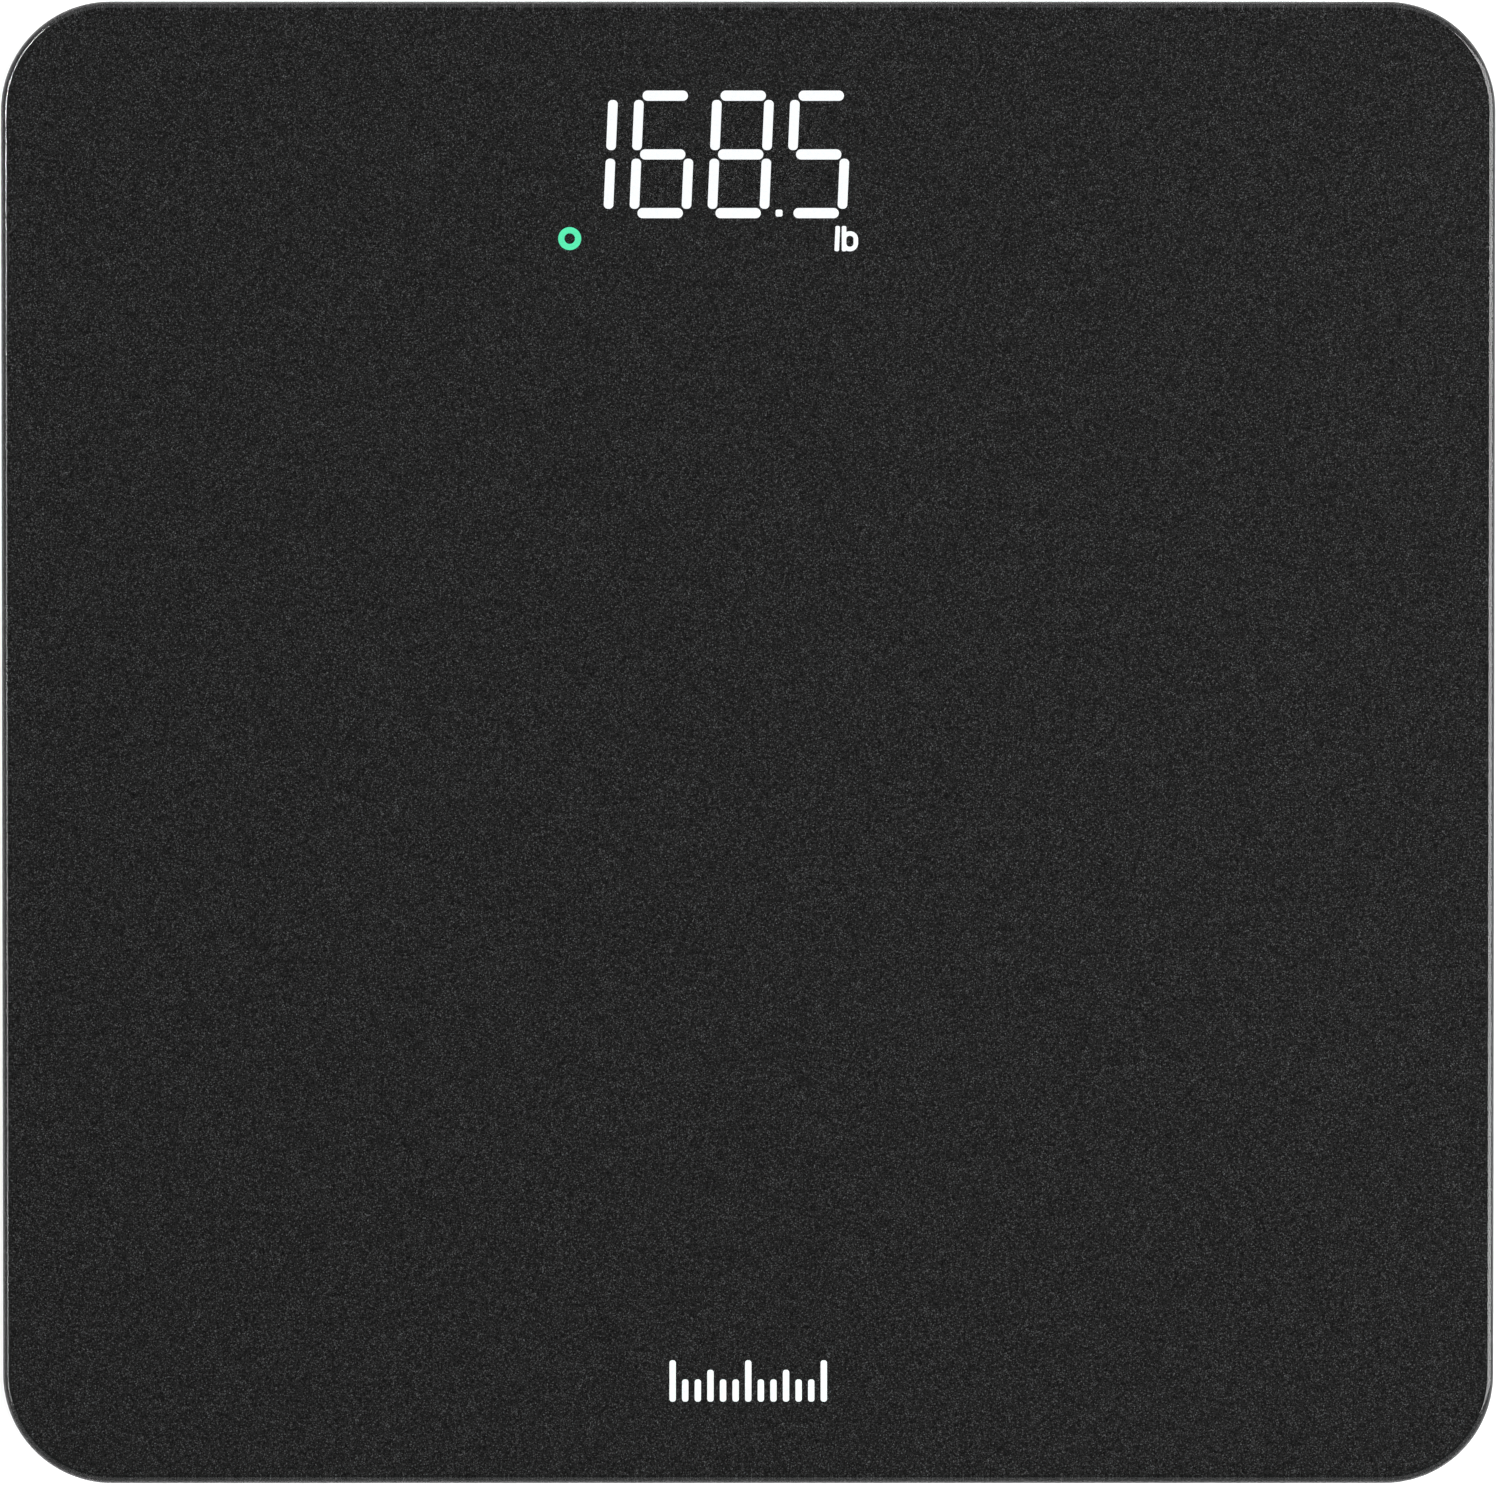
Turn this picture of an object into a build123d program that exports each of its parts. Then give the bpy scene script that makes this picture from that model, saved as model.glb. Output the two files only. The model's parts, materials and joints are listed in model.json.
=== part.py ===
from build123d import *
from math import cos, pi, radians, sin, tan
import os

# Digital bathroom scale: a tempered glass platform with a printed back, bonded to a shallow moulded
# base tray that holds the display board, the battery bay and a load cell over each of four feet.
# Millimetres. +Z is up, +X is to the reader's right and +Y points to the display edge.
# The origin is the centre of the platform's outline, on the floor under the rubber feet.

# Platform
platform_width = 280.0
platform_depth = 278.0
platform_corner = 20.5
glass_thickness = 6.0
glass_edge_round = 1.5
glass_back_round = 0.5
total_height = 25.0
print_thickness = 0.2
print_inset = 0.5
tape_thickness = 0.6
tape_width = 3.0

# Base tray
base_inset = 4.0
base_bottom = 4.5
base_edge_round = 9.0
side_wall = 3.6
floor_thickness = 2.2
rib_thickness = 1.6
rib_top = 10.5

# Sensor pods, one over each foot
foot_x = 100.0
foot_y = 99.0
foot_travel = 0.5
foot_radius = 18.0
foot_hole_radius = 18.6
foot_flange_radius = 19.8
pad_radius = 16.0
pad_height = 2.2
cell_side = 34.0
cell_thickness = 3.0
cell_bottom = 10.5
bracket_side = 40.0

# Read-out: four seven-segment digits that lean to the right
digit_pitch = 14.63
digit_row = 11.0
digit_column = 4.88
digit_lean = 2.5
digits_x = -8.73
digits_y = 110.5
bar_long = 8.5
bar_wide = 1.91
upright_long = 9.4
upright_wide = 1.8
lit_bars = ("bc", "acdefg", "abcdefg", "acdfg")

# Display board and its parts
board_width = 98.0
board_front = 78.0
board_back = 128.0
board_top = 12.6
board_thickness = 1.6
module_width = 80.0
module_depth = 36.0
module_y = 108.0

# Battery bay for three AAA cells side by side
bay_y = 58.0
bay_length = 51.0
bay_width = 34.4
bay_wall = 1.5
bay_roof = 17.2
cell_length = 44.5
cell_radius = 5.25
cell_pitch = 11.2
contact_thickness = 0.4
door_length = 54.0
door_width = 36.4
door_thickness = 1.8
door_gap = 0.3

# Unit button
button_x = 30.0
button_y = 90.2
button_radius = 5.0
button_travel = 0.4

# Wiring
ribbon_core = 1.2
ribbon_z = 14.15
battery_lead_radius = 0.7
battery_lead_z = 13.35

# Levels worked out from the driving dimensions
glass_bottom = total_height - glass_thickness
print_bottom = glass_bottom - print_thickness
base_top = print_bottom - tape_thickness
floor_top = base_bottom + floor_thickness
base_width = platform_width - 2 * base_inset
base_depth = platform_depth - 2 * base_inset
base_corner = platform_corner - base_inset
cell_top = cell_bottom + cell_thickness
board_bottom = board_top - board_thickness
door_top = base_bottom + door_thickness
battery_z = door_top + 0.2 + cell_radius
hinge_y = bay_y + door_width / 2 - door_thickness / 2
hinge_z = base_bottom + door_thickness / 2

corners = {
    "front_left": (-foot_x, -foot_y, 90),
    "front_right": (foot_x, -foot_y, 90),
    "back_left": (-foot_x, foot_y, 0),
    "back_right": (foot_x, foot_y, 180),
}


def slab(width, depth, corner, bottom, top, x=0.0, y=0.0):
    """A plate with rounded corners between two levels."""
    outline = Pos(x, y, bottom) * RectangleRounded(width, depth, corner)
    return extrude(outline, top - bottom)


def block(width, depth, bottom, top, x=0.0, y=0.0):
    """A square-cornered block between two levels."""
    return Pos(x, y, (bottom + top) / 2) * Box(width, depth, top - bottom)


def disc(radius, bottom, top, x=0.0, y=0.0):
    """A round plate or post between two levels."""
    return Pos(x, y, (bottom + top) / 2) * Cylinder(radius, top - bottom)


def flat_edges(shape, level):
    """The edges of a shape that lie in one horizontal plane."""
    return shape.edges().filter_by_position(Axis.Z, level - 0.001, level + 0.001)


def in_pod(shape, corner):
    """Moves a shape drawn about the origin to a foot, turned so its lead leaves towards the board."""
    x, y, turn = corners[corner]
    return Pos(x, y, 0) * Rot(0, 0, turn) * shape


# ---------------------------------------------------------------- read-out


def bar_outline(letter, margin=0.0):
    """One bar of a digit about the digit's centre, by its usual letter a to g."""
    rows = {"a": 2, "b": 1, "c": -1, "d": -2, "e": -1, "f": 1, "g": 0}
    columns = {"b": 1, "c": 1, "e": -1, "f": -1}
    y = rows[letter] * digit_row / 2
    x = columns.get(letter, 0) * digit_column + y * tan(radians(digit_lean))
    if letter in columns:
        wide = upright_wide + 2 * margin
        shape = Rot(0, 0, -digit_lean) * RectangleRounded(wide, upright_long + 2 * margin, 0.8 + min(margin, 0))
    else:
        shape = RectangleRounded(bar_long + 2 * margin, bar_wide + 2 * margin, 0.94 + margin)
    return Pos(x, y) * shape


def digit_centre(index):
    """Where a digit's middle bar is centred, counting from the left."""
    return digits_x + (index - 1.5) * digit_pitch, digits_y


def bars(lit, margin=0.0):
    """The outlines of every lit or unlit bar of the four digits."""
    shapes = []
    for index, shown in enumerate(lit_bars):
        x, y = digit_centre(index)
        for letter in "abcdefg":
            if (letter in shown) == lit:
                shapes.append(Pos(x, y) * bar_outline(letter, margin))
    return shapes


def point_outline(margin=0.0):
    """The decimal point, after the third digit."""
    x, y = digit_centre(2)
    side = 1.3 + 2 * margin
    return Pos(x + 7.2, y - digit_row) * RectangleRounded(side, side, 0.35)


def pound_outline():
    """The unit symbol, two small letters under the last digit."""
    stroke = 0.86
    tall = 4.75
    across, high = 3.06, 3.76
    bowl = RectangleRounded(across, high, 1.48) - RectangleRounded(across - 2 * stroke, high - 2 * stroke, 0.62)
    stem = Pos((stroke - across) / 2, (tall - high) / 2) * RectangleRounded(stroke, tall, 0.3)
    ell = Rot(0, 0, -digit_lean) * RectangleRounded(stroke, tall, 0.3)
    return [Pos(16.7, 94.72) * ell, Pos(19.08, 94.22) * (bowl + stem)]


def ring_outline(margin=0.0):
    """The round status light under the first digit."""
    hole = 1.0 - margin
    ring = Circle(2.16 + margin)
    if hole > 0.3:
        ring = ring - Circle(hole)
    return Pos(-33.5, 94.72) * ring


def mark_outline():
    """A plain row of graduation ticks, centred near the front edge."""
    shapes = []
    for step in range(-6, 7):
        tall = 7.8 if step % 6 == 0 else 6.0 if step % 3 == 0 else 4.2
        shapes.append(Pos(step * 2.37, -123.88 + tall / 2) * RectangleRounded(1.2, tall, 0.5))
    return shapes


def in_print_layer(shapes):
    """Outlines made into pieces as thick as the print layer."""
    return [extrude(Pos(0, 0, print_bottom) * shape, print_thickness) for shape in shapes]


def window_sketch():
    """Every opening of the print layer."""
    shapes = bars(True) + bars(False) + [point_outline()] + pound_outline()
    return Sketch() + shapes + [ring_outline()] + mark_outline()


def back_print():
    outline = RectangleRounded(
        platform_width - 2 * print_inset,
        platform_depth - 2 * print_inset,
        platform_corner - print_inset,
    )
    return extrude(Pos(0, 0, print_bottom) * (outline - window_sketch()), print_thickness)


def lit_segments():
    return in_print_layer(bars(True) + [point_outline()])


# ---------------------------------------------------------------- platform and base


def glass_platform():
    glass = slab(platform_width, platform_depth, platform_corner, glass_bottom, total_height)
    glass = fillet(flat_edges(glass, glass_bottom), glass_back_round)
    return fillet(flat_edges(glass, total_height), glass_edge_round)


def bonding_tape():
    edge = 0.3
    outer = RectangleRounded(base_width - 2 * edge, base_depth - 2 * edge, base_corner - edge)
    inset = edge + tape_width
    inner = RectangleRounded(base_width - 2 * inset, base_depth - 2 * inset, base_corner - inset)
    return extrude(Pos(0, 0, base_top) * (outer - inner), tape_thickness)


def tray_shell():
    """The tray's curved wall and floor, open at the top."""
    shell = slab(base_width, base_depth, base_corner, base_bottom, base_top)
    shell = fillet(flat_edges(shell, base_bottom), base_edge_round)
    shell = chamfer(flat_edges(shell, base_top), 0.4)
    hollow = slab(
        base_width - 2 * side_wall,
        base_depth - 2 * side_wall,
        base_corner - side_wall,
        floor_top,
        base_top + 1,
    )
    hollow = fillet(flat_edges(hollow, floor_top), base_edge_round - side_wall)
    return shell - hollow


def tray_ribs():
    """A grid of stiffening ribs on the tray's floor."""
    along_x = [
        block(base_width - 2 * side_wall, rib_thickness, floor_top, rib_top, 0, y)
        for y in (-72, -36, 0, 33)
    ]
    across = [
        block(rib_thickness, base_depth - 2 * side_wall, floor_top, rib_top, x, 0)
        for x in (-72, 72)
    ]
    front = base_depth / 2 - side_wall
    short = [
        block(rib_thickness, front + 33, floor_top, rib_top, x, (33 - front) / 2)
        for x in (-24, 24)
    ]
    return along_x + across + short


def pod_walls():
    """A square wall round each load cell bracket, and a low collar under the floor round each foot."""
    shapes = []
    inner = bracket_side + 0.8
    outer = inner + 2.8
    for corner in corners:
        wall = slab(outer, outer, 6.5, floor_top - 0.2, 12.5)
        wall -= slab(inner, inner, 5.2, floor_top - 0.2, 12.5)
        shapes.append(in_pod(wall, corner))
        collar = disc(foot_hole_radius + 3.0, base_bottom - 0.7, base_bottom + 0.5)
        collar = chamfer(flat_edges(collar, base_bottom - 0.7), 0.5)
        shapes.append(in_pod(collar, corner))
    return shapes


def lead_guides():
    """Forked posts that hold the two long ribbons above the ribs."""
    floor = ribbon_z - ribbon_core / 2 - 0.05
    fork = 6.6
    gap = 3 * ribbon_core + 0.6
    shapes = []
    for x, y in ((-foot_x, -62), (foot_x, -62), (-56, 18), (56, 18), (-56, 60), (56, 60)):
        post = block(fork, 3.0, floor_top - 0.2, floor + 1.7, x, y)
        post -= block(gap, 3.0, floor, floor + 1.7, x, y)
        shapes.append(post)
    return shapes


def post_places():
    return [(-36, -54), (36, -54), (-36, 12), (36, 12)]


def screw_places():
    inset = 4.0
    x = board_width / 2 - inset
    return [(sx * x, y) for sx in (-1, 1) for y in (board_front + inset, board_back - inset)]


def tray_posts():
    """Posts that steady the glass, and hollow bosses for the board's screws."""
    posts = [disc(5.0, floor_top - 0.2, base_top, x, y) for x, y in post_places()]
    bosses = [disc(3.2, floor_top - 0.2, board_bottom, x, y) for x, y in screw_places()]
    return posts + bosses


def bay_walls():
    """The battery bay's walls and roof on a thickened pad of floor."""
    pad = slab(bay_length + 13, bay_width + 12.6, 4, floor_top - 0.2, 8.0, 0, bay_y)
    box = slab(
        bay_length + 2 * bay_wall,
        bay_width + 2 * bay_wall,
        1.5,
        floor_top - 0.2,
        bay_roof + 1.0,
        0,
        bay_y,
    )
    return [pad, box]


def bay_cuts():
    """The bay's inside, the door's recess, the hinge slots, the tab slots and the finger scoop."""
    inside = block(bay_length, bay_width, door_top, bay_roof, 0, bay_y)
    recess = slab(
        door_length + 2 * door_gap,
        door_width + 2 * door_gap,
        2.3,
        base_bottom - 1,
        door_top,
        0,
        bay_y,
    )
    edge = bay_y + door_width / 2
    square_end = block(
        door_length + 2 * door_gap,
        4.0,
        base_bottom - 1,
        door_top,
        0,
        edge + door_gap - 2.0,
    )
    cuts = [inside, recess, square_end]
    for x in (-15, 15):
        cuts.append(block(8.6, 2.5, hinge_z - 0.1, 9.6, x, edge + 1.2))
        cuts.append(block(8.6, 2.2, door_top - 0.1, 9.6, x, edge - 0.6))
    for side, y in ((-1, bay_y - cell_pitch), (1, bay_y + cell_pitch)):
        cuts.append(block(3.0, 3.6, 12.1, 12.8, side * (bay_length / 2 + 1), y))
    scoop_radius = 18.0
    scoop_y = bay_y - door_width / 2 - 2.5
    cuts.append(Pos(0, scoop_y, base_bottom - scoop_radius + 1.5) * Sphere(scoop_radius))
    return cuts


def base_tray():
    tray = tray_shell() + tray_ribs() + pod_walls() + lead_guides() + tray_posts() + bay_walls()
    guide = disc(8.4, floor_top - 0.2, 8.2, button_x, button_y)
    guide -= disc(7.0, floor_top - 0.2, 8.2, button_x, button_y)
    tray += guide
    cuts = [in_pod(disc(foot_hole_radius, 0, floor_top + 0.1), corner) for corner in corners]
    cuts += [disc(1.05, floor_top + 0.3, board_bottom, x, y) for x, y in screw_places()]
    cuts.append(disc(button_radius + 0.3, 0, floor_top + 0.1, button_x, button_y))
    cuts.append(slab(70, 40, 3, base_bottom - 1, base_bottom + 0.3, 0, -18))
    return tray - (cuts + bay_cuts())


def rating_label():
    return slab(69.2, 39.2, 2.6, base_bottom + 0.1, base_bottom + 0.3, 0, -18)


def support_pads():
    return [disc(5.0, base_top, print_bottom, x, y) for x, y in post_places()]


# ---------------------------------------------------------------- sensor pods


def foot_cup(corner):
    """A ribbed plastic cup that slides in the tray and pushes the load cell's tongue with its boss."""
    cup_bottom = 1.2
    shelf = 7.2
    rim = shelf + 1.2
    cup = disc(foot_radius, cup_bottom, shelf)
    cup = fillet(flat_edges(cup, cup_bottom), 0.9)
    cup += disc(foot_flange_radius, shelf, rim)
    cup -= disc(16.0, 3.8, rim)
    cup += disc(5.0, 3.8, cell_bottom)
    ring = disc(9.0, 3.8, rim) - disc(7.8, 3.8, rim)
    ribs = [Rot(0, 0, turn) * block(32.4, 1.2, 3.8, 7.6) for turn in (0, 60, 120)]
    cup += [ring] + ribs
    cup -= disc(pad_radius + 0.2, cup_bottom, pad_height)
    return in_pod(cup, corner)


def foot_pad(corner):
    """A rubber disc with three round grooves in the face that meets the floor."""
    pad = disc(pad_radius, 0, pad_height)
    pad = fillet(flat_edges(pad, 0), 0.5)
    for radius in (5.0, 9.0, 13.0):
        pad -= disc(radius + 0.4, 0, 0.5) - disc(radius - 0.4, 0, 0.5)
    return in_pod(pad, corner)


def load_cell(corner):
    """A stamped steel plate with a tongue on one neck, which the foot bends upwards."""
    window = 22.0
    plate = slab(cell_side, cell_side, 4, cell_bottom, cell_top)
    plate -= slab(window, window, 2, cell_bottom, cell_top)
    plate += slab(14, 18, 1.5, cell_bottom, cell_top, -2, 0)
    plate += block(7.5, 9.0, cell_bottom, cell_top, 8, 0)
    return in_pod(plate, corner)


def gauge_seal(corner):
    """White silicone over the strain gauges on the tongue's neck."""
    seal = slab(8, 8, 1.5, cell_top, cell_top + 1.4, 7, 0)
    seal = fillet(flat_edges(seal, cell_top + 1.4), 0.5)
    return in_pod(seal, corner)


def sensor_bracket(corner):
    """A stiff cap that holds the plate's frame under the glass and leaves its tongue free."""
    skirt = 9.7
    pocket = cell_side + 0.4
    cap = slab(bracket_side, bracket_side, 5, skirt, base_top)
    cap -= slab(pocket, pocket, 4.2, skirt, cell_top)
    cap -= slab(24, 24, 2, cell_top, cell_top + 2.0)
    cap -= block(10, 4.6, ribbon_z - 0.85, ribbon_z + 0.85, bracket_side / 2 - 3, 0)
    for side in (-1, 1):
        cap += block(7, 1.5, skirt, cell_bottom - 0.05, 0, side * (pocket / 2 - 0.55))
        cap -= block(24, 6, base_top - 1.2, base_top, 0, side * 12.5)
    return in_pod(cap, corner)


def sensor_tapes():
    """Adhesive pads between each bracket and the printed glass."""
    pad = slab(38, 38, 4, base_top, print_bottom)
    return [in_pod(pad, corner) for corner in corners]


# ---------------------------------------------------------------- board and display module


def main_board():
    middle = (board_front + board_back) / 2
    board = slab(board_width, board_back - board_front, 2, board_bottom, board_top, 0, middle)
    return board - [disc(1.4, board_bottom, board_top, x, y) for x, y in screw_places()]


def board_screws():
    """Pan-head screws with a cross recess, through the board into the bosses."""
    screws = []
    for x, y in screw_places():
        head_top = board_top + 1.5
        head = disc(2.4, board_top, head_top, x, y)
        head = fillet(flat_edges(head, head_top), 0.7)
        screw = head + disc(1.0, floor_top + 0.6, board_top, x, y)
        slots = [block(2.6, 0.6, head_top - 0.7, head_top, x, y)]
        slots.append(block(0.6, 2.6, head_top - 0.7, head_top, x, y))
        screws.append(screw - slots)
    return screws


def display_reflector():
    """A white block with a light well under each bar and symbol."""
    module = slab(module_width, module_depth, 1.5, board_top, base_top, 0, module_y)
    wells = bars(True, -0.12) + bars(False, -0.12) + [point_outline(0.3), ring_outline(0.9)]
    wells.append(Pos(18.0, 94.4) * RectangleRounded(6.4, 5.6, 0.6))
    return module - [extrude(Pos(0, 0, board_top) * well, base_top - board_top) for well in wells]


def display_diffuser():
    return slab(module_width, module_depth, 1.5, base_top, base_top + 0.3, 0, module_y)


def display_gasket():
    ring = slab(module_width, module_depth, 1.5, base_top + 0.3, print_bottom, 0, module_y)
    return ring - slab(module_width - 4, module_depth - 4, 1, base_top, print_bottom, 0, module_y)


def led_chips():
    """A small chip at the bottom of each light well."""
    places = [well.center() for well in bars(True) + bars(False)]
    places += [point_outline().center(), Vector(-33.5, 94.6), Vector(18.0, 94.4)]
    side = 1.0
    return [block(side, side, board_top, board_top + 0.6, place.X, place.Y) for place in places]


def processor_blob():
    """The bare processor chip's black resin cover."""
    blob = disc(5.0, board_top, board_top + 1.4, 8, 84.4)
    return fillet(flat_edges(blob, board_top + 1.4), 1.1)


def converter_chip():
    """The weighing converter: a flat package on two rows of legs."""
    body = block(5.0, 3.9, board_top + 0.15, board_top + 1.6, -6, 84)
    body = chamfer(flat_edges(body, board_top + 1.6), 0.3)
    legs = []
    for step in range(4):
        for side in (-1, 1):
            x = -6 + (step - 1.5) * 1.27
            legs.append(block(0.4, 1.2, board_top, board_top + 0.25, x, 84 + side * 2.4))
    return body + legs


def crystal_can():
    can = slab(10.4, 4.2, 2.05, board_top, board_top + 3.4, -20, 84.4)
    return fillet(flat_edges(can, board_top + 3.4), 0.4)


def filter_capacitor():
    can = disc(2.5, board_top + 0.6, board_top + 5.2, 24, 84.4)
    can = fillet(flat_edges(can, board_top + 5.2), 0.5)
    return can + slab(5.3, 5.3, 0.6, board_top, board_top + 0.7, 24, 84.4)


def chip_resistors():
    places = [(-30, 86.5), (-30, 83.5), (-12.5, 87), (-12.5, 83), (0, 87), (0, 83), (17, 87), (17, 83)]
    return [block(2.0, 1.25, board_top, board_top + 0.55, x, y) for x, y in places]


def lead_headers():
    """White sockets for the four sensor ribbons, two at each end of the board."""
    shapes = []
    for side in (-1, 1):
        for y in (98, 115):
            header = slab(5, 8, 0.4, board_top, board_top + 4.0, side * 44.5, y)
            header -= block(3.0, 5.6, board_top + 2.6, board_top + 4.0, side * 44.5, y)
            shapes.append(header)
    return shapes


def switch_body():
    body = slab(6, 6, 0.5, 8.4, board_bottom, button_x, button_y)
    return body - disc(1.9, 8.4, 9.8, button_x, button_y)


def switch_plunger():
    return disc(1.7, 7.7, 9.0, button_x, button_y)


def unit_button():
    """A round push button with a dished face, held in by its flange."""
    face = base_bottom - 0.3
    cap = disc(button_radius, face, 6.9, button_x, button_y)
    cap = fillet(flat_edges(cap, face), 0.5)
    cap += disc(6.6, 6.9, 7.7, button_x, button_y)
    dish_radius = 14.0
    return cap - Pos(button_x, button_y, face + 0.45 - dish_radius) * Sphere(dish_radius)


# ---------------------------------------------------------------- battery bay


def battery(index):
    """An AAA cell with its end cap's nub; the middle one points the other way."""
    nub = 0.8
    can_length = cell_length - nub
    shape = Cylinder(cell_radius, can_length)
    shape = fillet(shape.edges().filter_by(GeomType.CIRCLE), 0.5)
    groove = Torus(cell_radius + 0.15, 0.45)
    shape -= Pos(0, 0, can_length / 2 - 1.8) * groove
    shape += Pos(0, 0, can_length / 2 + nub / 2) * Cylinder(1.9, nub)
    turn = -90 if index == 1 else 90
    direction = -1 if index == 1 else 1
    contact = bay_length / 2 - contact_thickness
    middle = direction * (contact - nub - can_length / 2)
    y = bay_y + (index - 1) * cell_pitch
    return Pos(middle, y, battery_z) * Rot(0, turn, 0) * shape


def contact_plates():
    """Plated strips at both ends of the bay: two join neighbouring cells, two carry the leads."""
    face = bay_length / 2
    bottom = battery_z - 4.2
    top = battery_z + 4.2
    plates = []
    for side in (-1, 1):
        x = side * (face - contact_thickness / 2)
        bridge = block(contact_thickness, 19.6, bottom, top, x, bay_y - side * cell_pitch / 2)
        y = bay_y + side * cell_pitch
        single = block(contact_thickness, 8.4, bottom, top, x, y)
        single += block(6.0, 2.6, 12.2, 12.6, side * (face + 2.8), y)
        plates += [bridge, single]
    return plates


def tapered_coil(height, turns, wide, narrow):
    """A coil's centre line, in quarter turns that run smoothly into each other."""

    def place(turn):
        share = turn / turns
        radius = wide + (narrow - wide) * share
        return Vector(radius * cos(2 * pi * turn), radius * sin(2 * pi * turn), height * share)

    def heading(turn):
        return (place(turn + 0.001) - place(turn - 0.001)).normalized()

    edges = []
    for quarter in range(round(turns * 4)):
        stops = [(quarter + step / 4) / 4 for step in range(5)]
        ends = [heading(stops[0]), heading(stops[-1])]
        edges.append(Edge.make_spline([place(stop) for stop in stops], tangents=ends))
    return Wire(edges)


def battery_springs():
    """Tapered coil springs that press on each cell's flat end."""
    wire = 0.3
    reach = bay_length - 2 * contact_thickness - cell_length
    springs = []
    for index in range(3):
        side = 1 if index == 1 else -1
        start = side * (bay_length / 2 - contact_thickness - wire - 0.03)
        y = bay_y + (index - 1) * cell_pitch
        coil = tapered_coil(reach - 2 * wire - 0.12, 3.5, 3.9, 2.3)
        section = Plane(coil @ 0, z_dir=coil % 0) * Circle(wire)
        turned = Rot(0, -side * 90, 0) * sweep(section, path=coil)
        springs.append(Pos(start, y, battery_z) * turned)
    return springs


def battery_door():
    """A flush cover that swings on two tabs and ends in a springy thumb tongue."""
    edge = door_width / 2
    door = slab(door_length, door_width, 2.0, base_bottom, door_top, 0, bay_y)
    door -= block(door_length, door_thickness, base_bottom, door_top, 0, hinge_y + door_thickness / 2)
    hinge = Rot(0, 90, 0) * Cylinder(door_thickness / 2, door_length - 4)
    door += Pos(0, hinge_y, hinge_z) * hinge
    for x in (-15, 15):
        door += block(8.0, 2.7, hinge_z, door_top, x, hinge_y + 1.35)
    for x in (-5.6, 5.6):
        door -= block(0.8, 9.0, base_bottom, door_top, x, bay_y - edge + 4.5)
    for step in range(3):
        door -= block(7.0, 0.6, base_bottom, base_bottom + 0.4, 0, bay_y - edge + 1.6 + step * 1.5)
    return door


# ---------------------------------------------------------------- wiring


def lead_path(points, radii):
    return FilletPolyline(*points, radius=radii)


def ribbon_route(corner):
    """The ribbon's corner points and bend radii, from the gauge seal to the board's socket."""
    x, y, _ = corners[corner]
    side = -1 if x < 0 else 1
    socket = side * 47.0
    if y > 0:
        points = [(x - side * 11, y), (side * 73, y), (side * 64, 115), (socket, 115)]
        return points, [10, 10]
    points = [
        (x, y + 11),
        (x, -48),
        (side * 56, -4),
        (side * 56, 98),
        (socket, 98),
    ]
    return points, [24, 24, 7]


def sensor_ribbon(corner):
    """A flat three-core lead from a load cell to its socket."""
    points, radii = ribbon_route(corner)
    path = lead_path([(px, py, ribbon_z) for px, py in points], radii)
    cores = [Pos(step * ribbon_core * 0.96, 0) * Circle(ribbon_core / 2) for step in (-1, 0, 1)]
    start = Plane(path @ 0, x_dir=Vector(0, 0, 1).cross(path % 0), z_dir=path % 0)
    return sweep(start * (Sketch() + cores), path=path)


def battery_lead(side):
    """A single insulated wire from a contact's solder tab to the board."""
    y = bay_y + side * cell_pitch
    points = [(side * 29, y), (side * 35, y), (side * 35, board_front + 3)]
    path = lead_path([(px, py, battery_lead_z) for px, py in points], [4])
    return sweep(Plane(path @ 0, z_dir=path % 0) * Circle(battery_lead_radius), path=path)


# ---------------------------------------------------------------- all pieces


def all_parts():
    """Every piece by its name: one shape, or a list of separate identical solids."""
    parts = {
        "glass_platform": glass_platform(),
        "back_print": back_print(),
        "lit_segments": lit_segments(),
        "unlit_segments": in_print_layer(bars(False)),
        "unit_symbol": in_print_layer(pound_outline()),
        "status_ring": in_print_layer([ring_outline()]),
        "front_mark": in_print_layer(mark_outline()),
        "bonding_tape": bonding_tape(),
        "base_tray": base_tray(),
        "rating_label": rating_label(),
        "support_pads": support_pads(),
        "sensor_tapes": sensor_tapes(),
        "main_board": main_board(),
        "board_screws": board_screws(),
        "display_reflector": display_reflector(),
        "display_diffuser": display_diffuser(),
        "display_gasket": display_gasket(),
        "led_chips": led_chips(),
        "processor_blob": processor_blob(),
        "converter_chip": converter_chip(),
        "crystal_can": crystal_can(),
        "filter_capacitor": filter_capacitor(),
        "chip_resistors": chip_resistors(),
        "lead_headers": lead_headers(),
        "switch_body": switch_body(),
        "switch_plunger": switch_plunger(),
        "unit_button": unit_button(),
        "battery_door": battery_door(),
        "contact_plates": contact_plates(),
        "battery_springs": battery_springs(),
        "battery_lead_black": battery_lead(-1),
        "battery_lead_red": battery_lead(1),
    }
    for index in range(3):
        parts[f"battery_{index + 1}"] = battery(index)
    for corner in corners:
        for piece in (foot_cup, foot_pad, load_cell, gauge_seal, sensor_bracket, sensor_ribbon):
            parts[f"{piece.__name__}_{corner}"] = piece(corner)
    return parts


os.makedirs("parts", exist_ok=True)
for name, shape in all_parts().items():
    whole = Compound(children=list(shape)) if isinstance(shape, list) else shape
    export_step(whole, f"parts/{name}.step")
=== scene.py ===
import json
from math import cos, pi, radians, sin

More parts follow.
